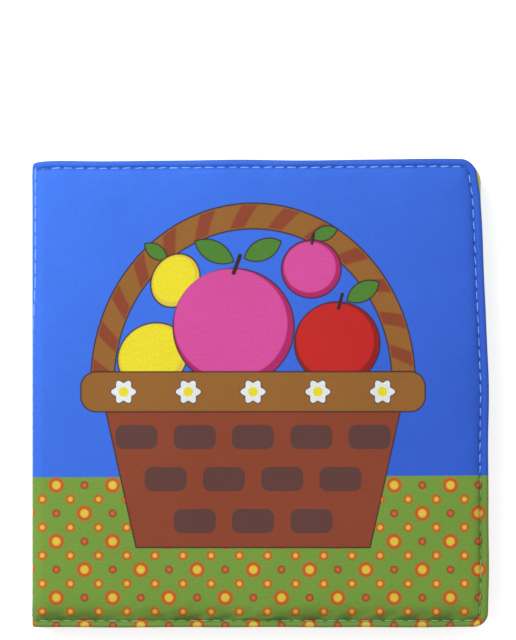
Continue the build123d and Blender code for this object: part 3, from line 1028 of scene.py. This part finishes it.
def page_stitch_places(seams, flat):
    """Every stitch of the two inner leaves: middle, direction, way out and pitch."""
    slope = bpy.context.scene.book_leaves.slope / MM
    found = []
    for level in (flat, -flat):
        for way in (1, -1):
            z = MIDDLE + level + way * WEB_HALF
            for places, pitch, height in (seams.head_row, seams.tail_row):
                for x in places:
                    drop = slope * (1 - x / SLOPE_RUN) * (height / HEIGHT) ** 3
                    spot = (SPINE + x, TAIL + height - drop, z)
                    found.append((spot, (1, 0, 0), (0, 0, way), pitch))
            for y in seams.fore_row[0]:
                spot = (SPINE + seams.fore(y), TAIL + y, z)
                found.append((spot, (0, 1, 0), (0, 0, way), seams.fore_row[1]))
    return found


def pages_mesh(name):
    """The folded inner sheet: two padded leaves and the fold between them."""
    leaves = bpy.context.scene.book_leaves
    head, tail = leaves.page_head / MM, leaves.page_tail / MM
    path = page_path()
    start = float(path[1][-2])
    seams = Seams(head, tail, PAGE_INSET, HEIGHT - PAGE_INSET, start + 2.6, False)
    widest = max(head, tail) - start
    lengths = list(np.linspace(path[0][0], 0, 9)[:-1])
    lengths += list(PAGE_SPINE_STEPS) + steps(PAGE_SPINE_STEPS[-1], widest - EDGE_STEPS[-1], PAGE_STEP)
    lengths += from_far_edge(widest)
    lengths = np.array(lengths) - path[0][0]
    columns = np.concatenate([-lengths[::-1][:-1], lengths])
    rows = PAGE_INSET + np.array(rim_to_rim(HEIGHT - 2 * PAGE_INSET, PAGE_STEP))
    mesh, _, away, y, out = sheet_mesh(name, columns, rows)
    upper = away >= 0
    s = np.abs(away) + path[0][0]
    reach = seams.edge(y)
    s = np.where(s > 0, s * (reach - start) / widest, s)
    x = start + s
    relief, d, q, deep = leaf_relief(seams, x, reach - x, y, s - 0.9, 1.0, 41, 0.3)
    inside = smooth(0, 8, q) * smooth(0, 9, s)
    relief = np.minimum(relief, leaves.pad / MM / 2 + 0.05)
    relief = relief - hollows(x, y + 300 * out + 700 * upper, 57) * inside
    half = np.where(out, relief, -relief)
    px, pz, tx, tz = along_path(path, s)
    rounding, plan_y = round_corners(seams, x, y, 1.4, 1)
    slope = leaves.slope / MM * (1 - np.clip(x, 0, SLOPE_RUN) / SLOPE_RUN) * (y / HEIGHT) ** 3
    side_wave = 0.12 * ripple(y, upper * 31.0, 47, 31, 5)
    plan_x = px - half * tz + rounding + side_wave * np.exp(-(reach - x) / 3.0)
    lift = 0.18 * ripple(x + y, x - y + upper * 90, 51, 38, 5) * (1 - smooth(0, 3.2, d))
    level = pz + half * tx
    level = np.where(upper, level, -level) + lift * smooth(8, 16, x)
    co = np.stack([SPINE + plan_x, TAIL + plan_y - slope, MIDDLE + level], axis=1)
    finish_mesh(mesh, co, np.stack([x, y], axis=1), deep)
    outside, heights = face_sides(mesh)
    top = heights > MIDDLE * MM
    looks = np.where(outside, np.where(top, 0, 3), np.where(top, 1, 2))
    mesh.polygons.foreach_set("material_index", looks)
    return mesh, page_stitch_places(seams, float(path[2][-1]))


class BOOK_OT_pages(bpy.types.Operator):
    """Makes the folded inner sheet with its two padded leaves and their stitches"""

    bl_idname = "cloth_book.pages"
    bl_label = "Pages"

    def execute(self, context):
        mesh, stitches = pages_mesh("page_cloth")
        pages = place("page_cloth", mesh, "pages", page_material("page_yellow", (0.97, 0.87, 0.15)),
                      page_material("page_green", (0.2, 0.46, 0.08)),
                      page_material("page_light_blue", (0.25, 0.55, 0.8), PINK),
                      page_material("page_teal", TEAL, SAND, UMBER, WIDE_CHECK))
        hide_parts("inner_leaves", *[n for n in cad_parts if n.startswith("page_")])
        thread = thread_material("inner_thread", False)
        stitches = sew("page_thread", stitches, 43, "pages", thread)
        return {"FINISHED"}


class BOOK_OT_stage(bpy.types.Operator):
    """Makes the plain floor, the soft lamp and the camera straight above the book"""

    bl_idname = "cloth_book.stage"
    bl_label = "Stage"

    def execute(self, context):
        scene = context.scene
        settings = scene.book_stage
        bm = bmesh.new()
        bmesh.ops.create_grid(bm, x_segments=1, y_segments=1, size=FLOOR_SIZE)
        mesh = make_mesh("floor", bm)
        floor = place("floor", mesh, None)
        paint = Paint("floor_white")
        seen = paint.node("LightPath", {}).outputs["Is Camera Ray"]
        paint.feed(paint.shader, {
            "Base Color": (0.86, 0.86, 0.86, 1), "Roughness": 0.9,
            "Emission Color": (1, 1, 1, 1), "Emission Strength": paint.scaled(seen, 0.6)})
        mesh.materials.append(paint.material)
        data = bpy.data.lights.new("key", "AREA")
        data.energy = settings.key
        data.size = LAMP_SIZE
        lamp = bpy.data.objects.new("key", data)
        lamp.location = LAMP_PLACE
        lamp.rotation_euler = (-lamp.location.normalized()).to_track_quat("-Z", "Y").to_euler()
        scene.collection.objects.link(lamp)
        scene.world = scene.world or bpy.data.worlds.new("room")
        scene.world.use_nodes = True
        background = scene.world.node_tree.nodes["Background"]
        background.inputs[0].default_value = (1, 1, 1, 1)
        background.inputs[1].default_value = settings.fill
        data = bpy.data.cameras.new("above")
        data.sensor_fit = "VERTICAL"
        data.sensor_height = SENSOR_HEIGHT
        tall = PICTURE_HEIGHT / PIXELS_PER_MM * MM
        leaf = TOP * MM - scene.book_leaves.pad / 2
        data.lens = SENSOR_HEIGHT * (settings.camera_height - leaf) / tall
        camera = bpy.data.objects.new("above", data)
        camera.location = (*CAMERA_PLACE, settings.camera_height)
        scene.collection.objects.link(camera)
        scene.camera = camera
        scene.view_settings.view_transform = "Standard"
        return {"FINISHED"}


class BOOK_PT_panel(bpy.types.Panel):
    """Lists the book's pieces and their settings"""

    bl_label = "Cloth book"
    bl_idname = "BOOK_PT_panel"
    bl_space_type = "VIEW_3D"
    bl_region_type = "UI"
    bl_category = "Cloth book"

    def draw(self, context):
        scene = context.scene
        for settings, operators in (
            (scene.book_leaves, ("front_cover", "back_cover", "pages")),
            (scene.book_seams, ()),
            (scene.book_print, ()),
            (scene.book_stage, ("stage",)),
        ):
            box = self.layout.box()
            for key in settings.bl_rna.properties.keys():
                if key not in {"rna_type", "name"}:
                    box.prop(settings, key)
            for operator in operators:
                box.operator("cloth_book." + operator)


CLASSES = (BookLeaves, BookSeams, BookPrint, BookStage, BOOK_OT_front_cover, BOOK_OT_back_cover,
           BOOK_OT_pages, BOOK_OT_stage, BOOK_PT_panel)
SETTINGS = {"book_leaves": BookLeaves, "book_seams": BookSeams, "book_print": BookPrint,
            "book_stage": BookStage}


def register():
    """Adds the classes and the scene's settings."""
    for item in CLASSES:
        bpy.utils.register_class(item)
    for key, group in SETTINGS.items():
        setattr(bpy.types.Scene, key, bpy.props.PointerProperty(type=group))


def unregister():
    """Takes them away again."""
    for key in SETTINGS:
        delattr(bpy.types.Scene, key)
    for item in reversed(CLASSES):
        bpy.utils.unregister_class(item)


def main():
    """Makes every piece in order."""
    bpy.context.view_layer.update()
    register()
    bpy.ops.cloth_book.stage()
    bpy.ops.cloth_book.front_cover()
    bpy.ops.cloth_book.back_cover()
    bpy.ops.cloth_book.pages()


if __name__ == "__main__":
    main()
